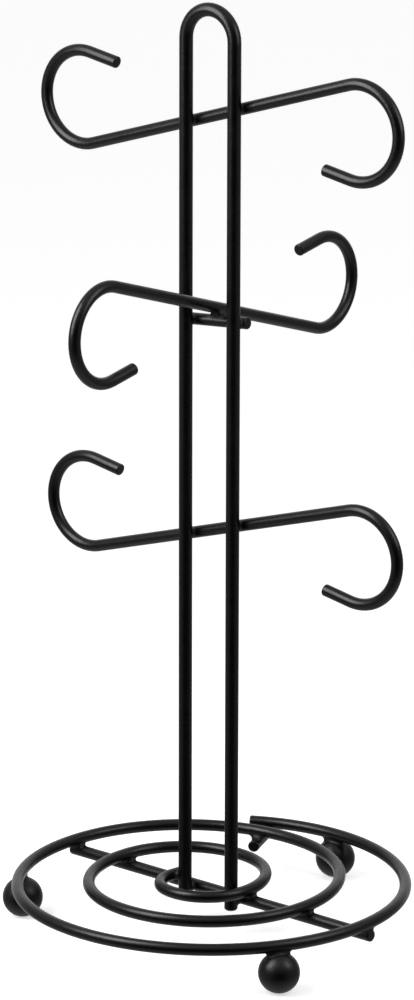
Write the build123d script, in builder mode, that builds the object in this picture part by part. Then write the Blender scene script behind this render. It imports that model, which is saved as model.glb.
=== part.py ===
"""A mug tree of welded round steel wire: a hairpin post, three double-hooked arms and a flat spiral
base that stands on three balls. Millimetres; +Z is up. The origin is on the table: x = 0 halves the span
of the top and bottom arms together, and y = 0 is the upright plane that those two arms lie in."""

import os
from math import cos, radians, sin, tan

from build123d import *

# Stock, with its powder coat
rod_d = 4.6
post_d = 5.2  # the post is of thicker rod than the rest
ball_d = 15.8
end_round = 0.5  # rounding where a rod is cut off
leg_end_round = 1.0
weld_gap = 0.1  # two welded rods stand this far apart, and the weld fills the gap
rod_pitch = rod_d + weld_gap  # centre to centre of two rods welded side by side
post_pitch = (post_d + rod_d) / 2 + weld_gap  # the same, of the post and a rod

# Feet: balls under the outer turn, each with a small worn flat
foot_flat = 0.2  # depth of the flat
foot_places = {"foot_left": (-64.8, -40.5), "foot_right": (63.6, -42.6), "foot_back": (2.6, 72.9)}

# Heights of the rods' centre lines above the table
ring_z = ball_d - foot_flat + weld_gap + rod_d / 2
bar_z = ring_z - rod_pitch
leg_end_z = 9.6
post_top_z = 358.0
arm_heights = {"top_arm": 318.2, "middle_arm": 244.9, "bottom_arm": 159.5}

# Post: one rod bent into a hairpin, its plane one rod in front of the arms
leg_spacing = 22.8
post_x = -0.5
post_y = -post_pitch
leg_xs = (post_x - leg_spacing / 2, post_x + leg_spacing / 2)

# Arms: a sloping straight with the same hook at both ends, turned half round
arm_straight = 125.9
arm_slopes = {"top_arm": 16.1, "middle_arm": 16.6, "bottom_arm": 15.9}
arm_shifts = {"top_arm": -1.0, "middle_arm": -0.4, "bottom_arm": 1.0}  # off centre, to the raised end
hook_radius = 17.9
hook_bend = 207.3
hook_tips = {"top_arm": (14.0, 12.2), "middle_arm": (13.3, 12.5), "bottom_arm": (13.1, 12.1)}  # lower, raised

# Pin that carries the middle arm
pin_length = 28.9
pin_tilt = 3.7

# Base spiral: a short outer tail, quarter turns that tighten, and an end beside the left leg
tail_end = (-33.3, 63.1)
tail_heading = 29.0
tail_turn = (40, 70.5)
quarter_radii = (74.5, 76.0, 71.5, 61.5, 56.0, 48.0, 43.0, 33.0, 30.0)
inner_turns = ((99, 19.1), (79, 12.6))
inner_straight = 8.0

# Bars under the spiral
cross_bar_left = (-76.0, 2.9)
cross_bar_right = (76.4, -2.1)
tie_bar_outer = (-29.4, 71.5)
tie_bar_inner = (-21.1, 49.7)

# Weld beads
bead_r = 2.7
foot_bead_r = 3.4
bead_turn = (20, 35, 0)  # keeps a bead's seam and poles off the rods


def polar(length, angle):
    """A flat step of this length, angle degrees above the local x axis."""
    return (length * cos(radians(angle)), length * sin(radians(angle)))


def across(x):
    """Where the cross bar's centre line passes this x."""
    (x0, y0), (x1, y1) = cross_bar_left, cross_bar_right
    return y0 + (y1 - y0) * (x - x0) / (x1 - x0)


def over_bar(wire, start, end, height):
    """The points, at this height, where a flat wire passes over the bar from start to end."""
    bar = Edge.make_line((*start, ring_z), (*end, ring_z))
    hits = [hit for arc in wire.edges() for hit in (arc.intersect(bar) or [])]
    return [(hit.X, hit.Y, height) for hit in hits]


def section(wire):
    """The plane square to a wire at its start."""
    return Plane(origin=wire @ 0, z_dir=wire % 0)


def cut_ends(rod):
    """The round edges where a swept rod is cut off."""
    return rod.faces().filter_by(GeomType.PLANE).edges()


def hooked_arm(name, upright):
    """A double-hooked arm on an upright plane, raised and shifted to its own place."""
    middle = (arm_shifts[name], arm_heights[name])
    half = polar(arm_straight / 2, arm_slopes[name])
    ends = {side: (middle[0] + side * half[0], middle[1] + side * half[1]) for side in (-1, 1)}
    with BuildPart() as arm:
        with BuildLine(upright) as route:
            Line(ends[-1], ends[1])
            for (side, end), tip in zip(ends.items(), hook_tips[name]):
                hook = JernArc(end, polar(side, arm_slopes[name]), hook_radius, -hook_bend)
                Line(hook @ 1, hook @ 1 + (hook % 1) * tip)
        wire = route.wire()
        with BuildSketch(section(wire)):
            Circle(rod_d / 2)
        sweep(path=wire)
        fillet(cut_ends(arm), end_round)
    return arm


def straight_rod(start, end):
    """A straight rod between two points."""
    with BuildPart() as rod:
        with BuildLine() as route:
            Line(Vector(start), Vector(end))
        wire = route.wire()
        with BuildSketch(section(wire)):
            Circle(rod_d / 2)
        sweep(path=wire)
        fillet(cut_ends(rod), end_round)
    return rod


def beads(places, radius, *joined):
    """Weld beads round these contact points, cut back to the surfaces of the pieces they join."""
    with BuildPart() as welds:
        with Locations(*places):
            Sphere(radius, rotation=bead_turn)
        for piece in joined:
            add(piece.part, mode=Mode.SUBTRACT)
    return welds


# Post
with BuildPart() as post_hairpin:
    with BuildLine(Plane.XZ.offset(-post_y)) as post_route:
        bend_z = post_top_z - leg_spacing / 2
        Line((leg_xs[0], leg_end_z), (leg_xs[0], bend_z))
        top_bend = JernArc((leg_xs[0], bend_z), (0, 1), leg_spacing / 2, -180)
        Line(top_bend @ 1, (leg_xs[1], leg_end_z))
    post_wire = post_route.wire()
    with BuildSketch(section(post_wire)):
        Circle(post_d / 2)
    sweep(path=post_wire)
    fillet(cut_ends(post_hairpin), leg_end_round)

# Arms: top and bottom across the back of both legs, the middle one passing between them
behind_legs = Plane.XZ
between_legs = Plane((post_x, 0, 0), x_dir=(0, -1, 0), z_dir=(-1, 0, 0))
top_arm = hooked_arm("top_arm", behind_legs)
bottom_arm = hooked_arm("bottom_arm", behind_legs)
middle_arm = hooked_arm("middle_arm", between_legs)


def arm_height(name, along):
    """How high an arm's centre line is, this far along its own plane."""
    return arm_heights[name] + (along - arm_shifts[name]) * tan(radians(arm_slopes[name]))


# Pin under the middle arm, across the back of both legs
pin_drop = rod_pitch / cos(radians(arm_slopes["middle_arm"])) / cos(radians(pin_tilt))
pin_z = arm_height("middle_arm", 0) - pin_drop
half_pin = polar(pin_length / 2, pin_tilt)
arm_cross_pin = straight_rod(
    (post_x - half_pin[0], 0, pin_z - half_pin[1]), (post_x + half_pin[0], 0, pin_z + half_pin[1])
)

# Base
with BuildPart() as base_spiral:
    with BuildLine(Plane.XY.offset(ring_z)) as spiral_route:
        turns = [tail_turn] + [(90, radius) for radius in quarter_radii] + list(inner_turns)
        arc = JernArc(tail_end, polar(1, tail_heading), turns[0][1], -turns[0][0])
        for turn, radius in turns[1:]:
            arc = JernArc(arc @ 1, arc % 1, radius, -turn)
        Line(arc @ 1, arc @ 1 + (arc % 1) * inner_straight)
    spiral_wire = spiral_route.wire()
    with BuildSketch(section(spiral_wire)):
        Circle(rod_d / 2)
    sweep(path=spiral_wire)
    fillet(cut_ends(base_spiral), end_round)

base_cross_bar = straight_rod((*cross_bar_left, bar_z), (*cross_bar_right, bar_z))
base_tie_bar = straight_rod((*tie_bar_outer, bar_z), (*tie_bar_inner, bar_z))

feet = {}
for name, place in foot_places.items():
    with BuildPart() as foot:
        with Locations((*place, ball_d / 2 - foot_flat)):
            Sphere(ball_d / 2)
        split(bisect_by=Plane.XY, keep=Keep.TOP)
    feet[name] = foot

# Welds, each in the middle of the gap between the two surfaces that it joins
behind_post = post_y + post_d / 2
leg_contact_y = behind_post + weld_gap / 2
under_ring = ring_z - rod_pitch / 2

on_top_arm = [(x, leg_contact_y, arm_height("top_arm", x)) for x in leg_xs]
top_arm_welds = beads(on_top_arm, bead_r, top_arm, post_hairpin)

on_bottom_arm = [(x, leg_contact_y, arm_height("bottom_arm", x)) for x in leg_xs]
bottom_arm_welds = beads(on_bottom_arm, bead_r, bottom_arm, post_hairpin)

on_pin = [(x, leg_contact_y, pin_z + (x - post_x) * tan(radians(pin_tilt))) for x in leg_xs]
cross_pin_welds = beads(on_pin, bead_r, arm_cross_pin, post_hairpin)

arm_on_pin = polar(rod_pitch / 2, 90 - arm_slopes["middle_arm"])
middle_arm_weld = beads([(post_x, arm_on_pin[0], pin_z + arm_on_pin[1])], bead_r, middle_arm, arm_cross_pin)

leg_on_bar = [(x, (behind_post + across(x) - rod_d / 2) / 2, bar_z) for x in leg_xs]
cross_bar_leg_welds = beads(leg_on_bar, bead_r, base_cross_bar, post_hairpin)

bar_crossings = over_bar(spiral_wire, cross_bar_left, cross_bar_right, under_ring)
spiral_bar_welds = beads(bar_crossings, bead_r, base_cross_bar, base_spiral)

tie_crossings = over_bar(spiral_wire, tie_bar_outer, tie_bar_inner, under_ring)
tie_bar_welds = beads(tie_crossings, bead_r, base_tie_bar, base_spiral)

beside_leg = (leg_xs[0] - (post_d + weld_gap) / 2, post_y, ring_z)
spiral_end_weld = beads([beside_leg], bead_r, base_spiral, post_hairpin)

foot_welds = {}
for name, place in foot_places.items():
    foot_welds[name + "_weld"] = beads([(*place, under_ring)], foot_bead_r, base_spiral, feet[name])

pieces = {
    "post_hairpin": post_hairpin,
    "top_arm": top_arm,
    "middle_arm": middle_arm,
    "bottom_arm": bottom_arm,
    "arm_cross_pin": arm_cross_pin,
    "base_spiral": base_spiral,
    "base_cross_bar": base_cross_bar,
    "base_tie_bar": base_tie_bar,
    **feet,
    "top_arm_welds": top_arm_welds,
    "middle_arm_weld": middle_arm_weld,
    "bottom_arm_welds": bottom_arm_welds,
    "cross_pin_welds": cross_pin_welds,
    "cross_bar_leg_welds": cross_bar_leg_welds,
    "spiral_bar_welds": spiral_bar_welds,
    "spiral_end_weld": spiral_end_weld,
    "tie_bar_welds": tie_bar_welds,
    **foot_welds,
}

os.makedirs("parts", exist_ok=True)
for name, piece in pieces.items():
    piece.part.label = name
    export_step(piece.part, f"parts/{name}.step")
    print(name, len(piece.part.solids()), "solids", round(piece.part.volume, 1), "mm3")
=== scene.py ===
"""The looks of a welded wire mug tree: satin black powder coat on every rod and ball, and the welds as
smooth fillets where the pieces meet. Metres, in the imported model's frame; +Z is up."""

import random
from math import cos, pi, radians, sin

import bmesh
import bpy
from mathutils import Matrix, Vector
from mathutils.bvhtree import BVHTree
from mathutils.noise import noise


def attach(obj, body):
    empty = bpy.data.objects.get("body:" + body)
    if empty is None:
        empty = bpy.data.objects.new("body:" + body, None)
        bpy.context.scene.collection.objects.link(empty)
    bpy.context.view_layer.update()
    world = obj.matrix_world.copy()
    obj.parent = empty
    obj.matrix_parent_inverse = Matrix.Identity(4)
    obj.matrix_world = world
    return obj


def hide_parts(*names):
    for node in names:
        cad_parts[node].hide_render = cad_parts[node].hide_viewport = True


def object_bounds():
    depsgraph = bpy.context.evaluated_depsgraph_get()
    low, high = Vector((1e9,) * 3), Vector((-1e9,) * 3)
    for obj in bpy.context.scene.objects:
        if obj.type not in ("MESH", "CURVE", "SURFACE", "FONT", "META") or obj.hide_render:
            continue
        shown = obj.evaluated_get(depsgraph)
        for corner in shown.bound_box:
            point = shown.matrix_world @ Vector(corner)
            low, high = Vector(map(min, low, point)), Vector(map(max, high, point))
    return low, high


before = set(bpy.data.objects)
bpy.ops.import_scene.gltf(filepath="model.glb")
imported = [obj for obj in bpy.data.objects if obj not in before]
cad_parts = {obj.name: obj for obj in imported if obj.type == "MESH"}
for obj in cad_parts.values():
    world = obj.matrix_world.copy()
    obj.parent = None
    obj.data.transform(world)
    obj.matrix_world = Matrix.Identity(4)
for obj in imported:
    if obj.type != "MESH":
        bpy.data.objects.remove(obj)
cad_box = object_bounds()

mm = 0.001

# Camera: standing front right of the tree, looking a little down on it
camera_azimuth = 38.517
camera_distance = 1598.9 * mm
camera_height = 592.2 * mm
camera_turn = 0.153
camera_pitch = 14.775
camera_roll = 0.146
camera_lens = 156.85  # millimetres, on a sensor 36 mm along the picture's long side

# Soft light from all round. Each is: name, azimuth from the camera's, elevation, the dot product with
# that direction where it starts and where it is full, and its strength there
soft_lights = (
    ("table", 0, -90, 0.3, 0.95, 0.45),
    ("ceiling", 0, 90, 0.2, 0.95, 0.45),
    ("backdrop", 180, 0, 0.6, 1.0, 0.85),
    ("left_wall", -100, 0, 0.2, 1.0, 0.22),
    ("right_wall", 95, 0, 0.2, 1.0, 0.20),
)

# Soft boxes: name, azimuth from the camera's, distance out, height, the box's width and height, radiance
softboxes = (
    ("key_box", -66, 0.49, 0.53, 0.34, 0.50, 5.8),
    ("fill_box", 68, 0.50, 0.50, 0.30, 0.36, 2.1),
)

# Floor
floor_size = 60
floor_white = 0.9
floor_roughness = 0.9
floor_glow = 0.6

# Powder coat: ranges of colour and roughness, and the noise patterns behind them and the bumps
coat_dark = 0.001
coat_light = 0.003
wire_roughness = (0.28, 0.34)
ball_roughness = (0.34, 0.42)
weld_roughness = (0.46, 0.58)
cloud_scale = 90  # noise scales are per metre
cloud_band = (0.35, 0.65)  # the noise values that the colour's range spans
patch_scale = 240
patch_band = (0.3, 0.7)  # the same, for the roughness
peel_scale = 900
peel_height = 0.07 * mm
weld_peel = 2  # how much higher the orange peel is on a weld
grain_scale = 4500
grain_height = 0.012 * mm
bump_strength = 0.5

# Welds: the two pieces that each weld node joins, and the radius of the fillet between them
weld_joins = {
    "top_arm_welds": ("top_arm", "post_hairpin", 0.9 * mm),
    "middle_arm_weld": ("middle_arm", "arm_cross_pin", 2.4 * mm),
    "bottom_arm_welds": ("bottom_arm", "post_hairpin", 0.9 * mm),
    "cross_pin_welds": ("arm_cross_pin", "post_hairpin", 0.9 * mm),
    "cross_bar_leg_welds": ("base_cross_bar", "post_hairpin", 1.1 * mm),
    "spiral_bar_welds": ("base_cross_bar", "base_spiral", 1.3 * mm),
    "spiral_end_weld": ("base_spiral", "post_hairpin", 1.2 * mm),
    "tie_bar_welds": ("base_tie_bar", "base_spiral", 1.9 * mm),
    "foot_left_weld": ("foot_left", "base_spiral", 1.2 * mm),
    "foot_right_weld": ("foot_right", "base_spiral", 1.2 * mm),
    "foot_back_weld": ("foot_back", "base_spiral", 1.2 * mm),
}
balls = ("foot_left", "foot_right", "foot_back")

weld_seed = 7
weld_turns = 72  # arcs round a contact
weld_steps = 12  # steps along each arc
weld_tuck = 0.25 * mm  # how far a fillet reaches into the pieces
weld_waves = ((1, 0.10), (2, 0.07), (5, 0.04))  # unevenness: waves round a contact, share of the radius
lump_scale = 0.9  # per millimetre
lump_depth = 0.06 * mm
touching = 0.001 * mm  # two points closer than this are one

# Finding where pieces come closest, and where a ball touches both
closest_rounds = 60
ball_start = 3 * mm  # how far out from the contact the ball starts
ball_rounds = 30
ball_stride = 0.4 * mm  # the longest single step
facing_limit = 0.01  # below this the directions away from the two surfaces count as parallel
ball_nudge = 0.1 * mm  # the step outwards where those directions are parallel


# ---------------------------------------------------------------- helpers


def out_from(azimuth, elevation, distance):
    """A point round the object's foot. Azimuth 0 is on the -Y side and 90 on the +X side."""
    a, e = radians(azimuth), radians(elevation)
    return Vector((sin(a) * cos(e), -cos(a) * cos(e), sin(e))) * distance


def facing(place, target, roll=0.0):
    """The turn that points a camera or a lamp from a place at a target."""
    turn = (target - place).to_track_quat("-Z", "Y").to_matrix().to_4x4()
    return Matrix.Translation(place) @ turn @ Matrix.Rotation(radians(roll), 4, "Z")


# ---------------------------------------------------------------- camera


def make_camera():
    place = out_from(camera_azimuth, 0, camera_distance) + Vector((0, 0, camera_height))
    yaw, pitch = radians(camera_azimuth + camera_turn), radians(camera_pitch)
    ahead = Vector((-sin(yaw) * cos(pitch), cos(yaw) * cos(pitch), -sin(pitch)))
    lens = bpy.data.cameras.new("camera")
    lens.lens = camera_lens
    lens.clip_start = 0.1
    lens.clip_end = 50
    camera = bpy.data.objects.new("camera", lens)
    bpy.context.scene.collection.objects.link(camera)
    camera.matrix_world = facing(place, place + ahead, camera_roll)
    bpy.context.scene.camera = camera


# ---------------------------------------------------------------- materials


def grey(value):
    """A neutral colour for a socket."""
    return (value, value, value, 1)


def new_material(name):
    material = bpy.data.materials.new(name)
    material.use_nodes = True
    nodes = material.node_tree.nodes
    return material, nodes, material.node_tree.links, nodes["Principled BSDF"]


def noise_node(nodes, links, where, scale, detail):
    node = nodes.new("ShaderNodeTexNoise")
    node.inputs["Scale"].default_value = scale
    node.inputs["Detail"].default_value = detail
    links.new(where, node.inputs["Vector"])
    return node.outputs["Fac"]


def ranged(nodes, links, value, low, high, out_low, out_high, kind="LINEAR"):
    """Maps a value from one range to another, clamped."""
    node = nodes.new("ShaderNodeMapRange")
    node.interpolation_type = kind
    for socket, number in zip(node.inputs[1:5], (low, high, out_low, out_high)):
        socket.default_value = number
    links.new(value, node.inputs["Value"])
    return node.outputs["Result"]


def bump_node(nodes, links, height, distance):
    node = nodes.new("ShaderNodeBump")
    node.inputs["Strength"].default_value = bump_strength
    node.inputs["Distance"].default_value = distance
    links.new(height, node.inputs["Height"])
    return node


def powder_coat(name, roughness, peel=1):
    """Satin powder coat: a near-black with a faint cloudiness, orange peel and a fine grain."""
    material, nodes, links, shader = new_material(name)
    where = nodes.new("ShaderNodeTexCoord").outputs["Object"]

    clouds = noise_node(nodes, links, where, cloud_scale, 3)
    tint = nodes.new("ShaderNodeMix")
    tint.data_type = "RGBA"
    tint.inputs["A"].default_value = grey(coat_dark)
    tint.inputs["B"].default_value = grey(coat_light)
    links.new(ranged(nodes, links, clouds, *cloud_band, 0, 1), tint.inputs["Factor"])
    links.new(tint.outputs["Result"], shader.inputs["Base Color"])

    patches = noise_node(nodes, links, where, patch_scale, 2)
    links.new(ranged(nodes, links, patches, *patch_band, *roughness), shader.inputs["Roughness"])

    orange_peel = noise_node(nodes, links, where, peel_scale, 1)
    peel_bump = bump_node(nodes, links, orange_peel, peel_height * peel)
    grain = noise_node(nodes, links, where, grain_scale, 2)
    grain_bump = bump_node(nodes, links, grain, grain_height)
    links.new(peel_bump.outputs["Normal"], grain_bump.inputs["Normal"])
    links.new(grain_bump.outputs["Normal"], shader.inputs["Normal"])
    return material


# ---------------------------------------------------------------- welds


def islands(node):
    """The middle of the box round each separate bead of a CAD weld node."""
    mesh = bmesh.new()
    mesh.from_mesh(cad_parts[node].data)
    bmesh.ops.remove_doubles(mesh, verts=mesh.verts, dist=touching)
    left = set(mesh.verts)
    middles = []
    while left:
        found = {left.pop()}
        front = set(found)
        while front:
            front = {e.other_vert(v) for v in front for e in v.link_edges} - found
            found |= front
        left -= found
        corners = [(min(v.co[i] for v in found), max(v.co[i] for v in found)) for i in range(3)]
        middles.append(Vector([(low + high) / 2 for low, high in corners]))
    mesh.free()
    return sorted(middles, key=lambda p: tuple(p))


def surface(node):
    """A CAD node's surface, for finding its point nearest to another."""
    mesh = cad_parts[node].data
    return BVHTree.FromPolygons([v.co for v in mesh.vertices], [p.vertices for p in mesh.polygons])


def clearance(skin, point):
    """How far a point stands outside a surface, and the direction away from it."""
    touch, normal, _, _ = skin.find_nearest(point)
    away = point - touch
    side = 1 if away.dot(normal) > 0 else -1
    if away.length < touching:
        return 0.0, normal
    return side * away.length, side * away.normalized()


def closest(first, second, near):
    """The two points where two pieces come closest, found by going back and forth between them."""
    end = near
    for _ in range(closest_rounds):
        start = first.find_nearest(end)[0]
        end = second.find_nearest(start)[0]
    return start, end


def rolling_ball(first, second, centre, along, up, radius):
    """Where a ball of this radius, kept in the plane of along and up, touches both surfaces."""
    for _ in range(ball_rounds):
        far_1, away_1 = clearance(first, centre)
        far_2, away_2 = clearance(second, centre)
        a, b, c, d = away_1.dot(along), away_1.dot(up), away_2.dot(along), away_2.dot(up)
        det = a * d - b * c
        if abs(det) < facing_limit:
            centre = centre + along * ball_nudge
            continue
        need_1, need_2 = radius - far_1, radius - far_2
        step = along * ((need_1 * d - need_2 * b) / det) + up * ((need_2 * a - need_1 * c) / det)
        if step.length > ball_stride:
            step = step.normalized() * ball_stride
        centre = centre + step
    return centre, first.find_nearest(centre)[0], second.find_nearest(centre)[0]


def fillet_ring(centre, touch_1, touch_2, radius, shift):
    """One arc of a fillet, from one surface to the other, with an end tucked into each piece."""
    from_1, from_2 = (touch_1 - centre).normalized(), (touch_2 - centre).normalized()
    sweep = from_1.angle(from_2)
    ring = [touch_1 + from_1 * weld_tuck]
    for k in range(weld_steps + 1):
        t = k / weld_steps
        way = (from_1 * sin((1 - t) * sweep) + from_2 * sin(t * sweep)) / sin(sweep)
        point = centre + way * radius
        lump = noise((point / mm + shift) * lump_scale) * lump_depth * sin(pi * t)
        ring.append(point - way * lump)
    ring.append(touch_2 + from_2 * weld_tuck)
    return ring


def fillet_mesh(mesh, first, second, middle, radius, dice):
    """Adds a closed weld fillet round a contact: a ring of rolling-ball arcs, tucked into both pieces.
    The edges where it meets them are sharp, so that its shading runs on from theirs."""
    start, end = closest(first, second, middle)
    middle, up = (start + end) / 2, (end - start).normalized()
    side = up.orthogonal().normalized()
    other = up.cross(side)
    phases = [dice.uniform(0, 2 * pi) for _ in weld_waves]
    shift = Vector([dice.uniform(0, 50) for _ in range(3)])
    rings = []
    for i in range(weld_turns):
        angle = 2 * pi * i / weld_turns
        along = side * cos(angle) + other * sin(angle)
        uneven = sum(share * cos(waves * angle + phase) for (waves, share), phase in zip(weld_waves, phases))
        ball = radius * (1 + uneven)
        contact = rolling_ball(first, second, middle + along * ball_start, along, up, ball)
        rings.append([mesh.verts.new(point) for point in fillet_ring(*contact, ball, shift)])
    cap_1 = mesh.verts.new(start - up * 2 * weld_tuck)
    cap_2 = mesh.verts.new(end + up * 2 * weld_tuck)
    for here, there in zip(rings, rings[1:] + rings[:1]):
        for k in range(len(here) - 1):
            mesh.faces.new((here[k], here[k + 1], there[k + 1], there[k]))
        mesh.faces.new((cap_1, here[0], there[0]))
        mesh.faces.new((cap_2, there[-1], here[-1]))
        for k in (1, weld_steps + 1):
            mesh.edges.get((here[k], there[k])).smooth = False


def make_welds(coat):
    """Puts a fillet round every contact, in place of the beads of the CAD weld nodes."""
    dice = random.Random(weld_seed)
    surfaces = {node: surface(node) for join in weld_joins.values() for node in join[:2]}
    for node, (first, second, radius) in weld_joins.items():
        mesh = bmesh.new()
        for middle in islands(node):
            fillet_mesh(mesh, surfaces[first], surfaces[second], middle, radius, dice)
        bmesh.ops.recalc_face_normals(mesh, faces=mesh.faces)
        for face in mesh.faces:
            face.smooth = True
        data = bpy.data.meshes.new(node + "_fillets")
        mesh.to_mesh(data)
        mesh.free()
        data.materials.append(coat)
        weld = bpy.data.objects.new(node + "_fillets", data)
        bpy.context.scene.collection.objects.link(weld)
        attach(weld, "root")
        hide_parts(node)


# ---------------------------------------------------------------- studio


def make_floor():
    """A white floor. The coat's reflections come from the studio's own soft light, not from the floor."""
    bpy.ops.mesh.primitive_plane_add(size=floor_size, location=(0, 0, 0))
    floor = bpy.context.object
    floor.name = "floor"
    material, _, _, shader = new_material("pale_floor")
    shader.inputs["Base Color"].default_value = grey(floor_white)
    shader.inputs["Roughness"].default_value = floor_roughness
    shader.inputs["Specular IOR Level"].default_value = 0.0
    shader.inputs["Emission Color"].default_value = grey(1)
    shader.inputs["Emission Strength"].default_value = floor_glow
    floor.data.materials.append(material)
    floor.visible_glossy = False
    floor.visible_diffuse = False


def soft_light(nodes, links, way, azimuth, elevation, start, end, strength):
    """The strength of one soft light, seen looking this way."""
    dot = nodes.new("ShaderNodeVectorMath")
    dot.operation = "DOT_PRODUCT"
    dot.inputs[1].default_value = out_from(camera_azimuth + azimuth, elevation, 1)
    links.new(way, dot.inputs[0])
    return ranged(nodes, links, dot.outputs["Value"], start, end, 0, strength, "SMOOTHSTEP")


def make_world():
    """The soft light from all round, which the camera itself sees as plain white."""
    world = bpy.data.worlds.new("studio")
    world.use_nodes = True
    nodes, links = world.node_tree.nodes, world.node_tree.links
    way = nodes.new("ShaderNodeTexCoord").outputs["Generated"]
    lights = [soft_light(nodes, links, way, *light) for _, *light in soft_lights]
    total = lights[0]
    for light in lights[1:]:
        add = nodes.new("ShaderNodeMath")
        links.new(total, add.inputs[0])
        links.new(light, add.inputs[1])
        total = add.outputs["Value"]
    soft = nodes["Background"]
    soft.inputs["Color"].default_value = grey(1)
    links.new(total, soft.inputs["Strength"])
    white = nodes.new("ShaderNodeBackground")
    white.inputs["Color"].default_value = grey(1)
    mix = nodes.new("ShaderNodeMixShader")
    links.new(nodes.new("ShaderNodeLightPath").outputs["Is Camera Ray"], mix.inputs["Fac"])
    links.new(soft.outputs["Background"], mix.inputs[1])
    links.new(white.outputs["Background"], mix.inputs[2])
    links.new(mix.outputs["Shader"], nodes["World Output"].inputs["Surface"])
    bpy.context.scene.world = world


def softbox(name, azimuth, reach, height, width, tall, radiance):
    """A soft box to one side, aimed at the middle of the tree."""
    lamp = bpy.data.lights.new(name, "AREA")
    lamp.shape = "RECTANGLE"
    lamp.size = width
    lamp.size_y = tall
    lamp.energy = radiance * pi * width * tall
    box = bpy.data.objects.new(name, lamp)
    bpy.context.scene.collection.objects.link(box)
    target = Vector((0, 0, cad_box[1].z / 2))
    box.matrix_world = facing(out_from(azimuth, 0, reach) + Vector((0, 0, height)), target)
    box.visible_camera = False


def make_lights():
    for name, azimuth, *rest in softboxes:
        softbox(name, camera_azimuth + azimuth, *rest)


def show_true_colours():
    bpy.context.scene.view_settings.view_transform = "Standard"


# ---------------------------------------------------------------- build

make_camera()
wire = powder_coat("black_wire_coat", wire_roughness)
ball = powder_coat("black_ball_coat", ball_roughness)
weld = powder_coat("black_weld_coat", weld_roughness, weld_peel)
for name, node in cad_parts.items():
    coat = ball if name in balls else wire
    node.data.materials.clear()
    node.data.materials.append(coat)
make_welds(weld)
make_floor()
make_world()
make_lights()
show_true_colours()
